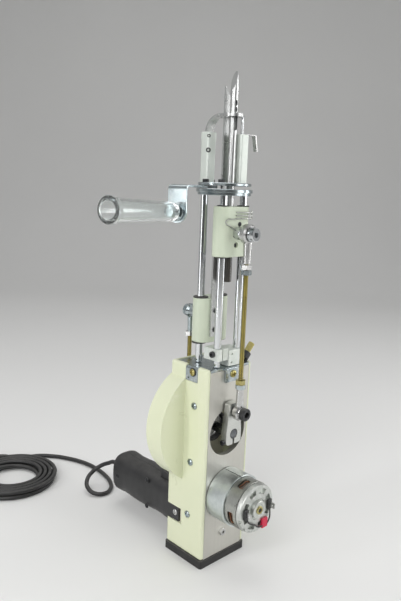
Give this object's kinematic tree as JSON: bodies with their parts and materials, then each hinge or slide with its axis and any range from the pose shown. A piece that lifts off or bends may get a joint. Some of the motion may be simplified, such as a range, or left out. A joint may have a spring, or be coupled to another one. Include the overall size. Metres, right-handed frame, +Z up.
{
  "type": "handheld tufting machine",
  "caption": "Upright motor-driven tufting tool: hollow needle and cutting blade on sliders over a belt-driven crank, with a clear side handle, pistol grip and corded plug.",
  "frame": {"origin": "centre of the underside of the base foot, where the machine stands", "axes": "+Z up along the needle, -Y the aluminium front with crank and motor, +Y the grip and the cord, -X the side with the clear handle"},
  "size_m": [0.1792, 0.3538, 0.4065],
  "materials": {
    "cream_plastic": "satin",
    "nylon": "satin",
    "aluminium": "brushed",
    "chrome": "polished",
    "steel": "satin",
    "zinc_steel": "bluish zinc",
    "dark_steel": "blackened",
    "yellow_zinc": "satin",
    "black_plastic": "satin",
    "rubber": "matt",
    "clear_acrylic": "clear"
  },
  "bodies": {
    "machine": {"base_foot": "rubber", "left_shell": "cream_plastic", "right_shell": "cream_plastic", "front_plate": "aluminium", "mid_plate": "aluminium", "rear_plate": "aluminium", "top_bracket": "zinc_steel", "rod_block_left": "aluminium", "rod_block_right": "aluminium", "guide_rod_front_left": "chrome", "guide_rod_front_right": "chrome", "guide_rod_rear_left": "chrome", "guide_rod_rear_right": "chrome", "ring_plate": "aluminium", "ring_cap": "aluminium", "left_post": "aluminium", "rear_post": "aluminium", "right_post": "aluminium", "presser_foot": "dark_steel", "yarn_hook": "steel", "handle_bracket": "steel", "side_handle": "clear_acrylic", "handle_bolt": "steel", "motor_can": "steel", "motor_flux_ring": "steel", "motor_end_cap": "steel", "grip_mount": "black_plastic", "grip_left": "black_plastic", "grip_right": "black_plastic", "trigger_switch": "black_plastic", "cord_gland": "rubber", "cord_stretch": "rubber", "cord_coil": "rubber", "cord_plug": "black_plastic", "bearing_housing": "black_plastic", "front_bearing": "steel", "rear_bushing": "yellow_zinc", "belt": "rubber", "thumb_screw": "yellow_zinc", "thumb_screw_collar": "black_plastic"},
    "crank": {"crank_shaft": "steel", "crank_arm": "steel", "drive_pulley": "aluminium", "rear_crank": "steel"},
    "rotor": {"motor_shaft": "steel", "motor_pulley": "aluminium"},
    "needle_carriage": {"needle_slider": "nylon", "needle": "steel", "yarn_tube": "black_plastic", "needle_slider_stud": "steel"},
    "front_rod": {"front_rod_upper_end": "steel", "front_connecting_rod": "yellow_zinc", "front_rod_lower_end": "steel", "front_crank_pin": "dark_steel"},
    "knife_carriage": {"knife_slider": "nylon", "knife_bar": "dark_steel", "knife_slider_stud": "steel"},
    "rear_rod": {"rear_connecting_rod": "yellow_zinc"},
    "finger_trigger": {"trigger": "black_plastic"}
  },
  "joints": [
    {"name": "crank_spin", "type": "hinge", "parent": "machine", "child": "crank", "pos_m": [0, 0, 0.117], "axis": [0, 1, 0], "continuous": true},
    {"name": "motor_spin", "type": "hinge", "parent": "machine", "child": "rotor", "pos_m": [0, 0, 0.062], "axis": [0, 1, 0], "continuous": true},
    {"name": "needle_slide", "type": "slide", "parent": "machine", "child": "needle_carriage", "axis": [0, 0, 1], "range_m": [-0.04, 0]},
    {"name": "front_rod_swing", "type": "hinge", "parent": "needle_carriage", "child": "front_rod", "pos_m": [0, -0.0342, 0.283], "axis": [0, 1, 0], "range_deg": [-7.87, 7.87]},
    {"name": "knife_slide", "type": "slide", "parent": "machine", "child": "knife_carriage", "axis": [0, 0, 1], "range_m": [0, 0.015]},
    {"name": "rear_rod_swing", "type": "hinge", "parent": "knife_carriage", "child": "rear_rod", "pos_m": [0, 0.0283, 0.2122], "axis": [0, 1, 0], "range_deg": [-4.19, 4.19]},
    {"name": "trigger_press", "type": "slide", "parent": "machine", "child": "finger_trigger", "axis": [0, 0, -1], "range_m": [0, 0.005], "stiffness_N_per_m": 400, "springref_m": -0.002}
  ],
  "couplings": [
    {"joint": "motor_spin", "follows": "crank_spin", "ratio": 5.8784}
  ]
}
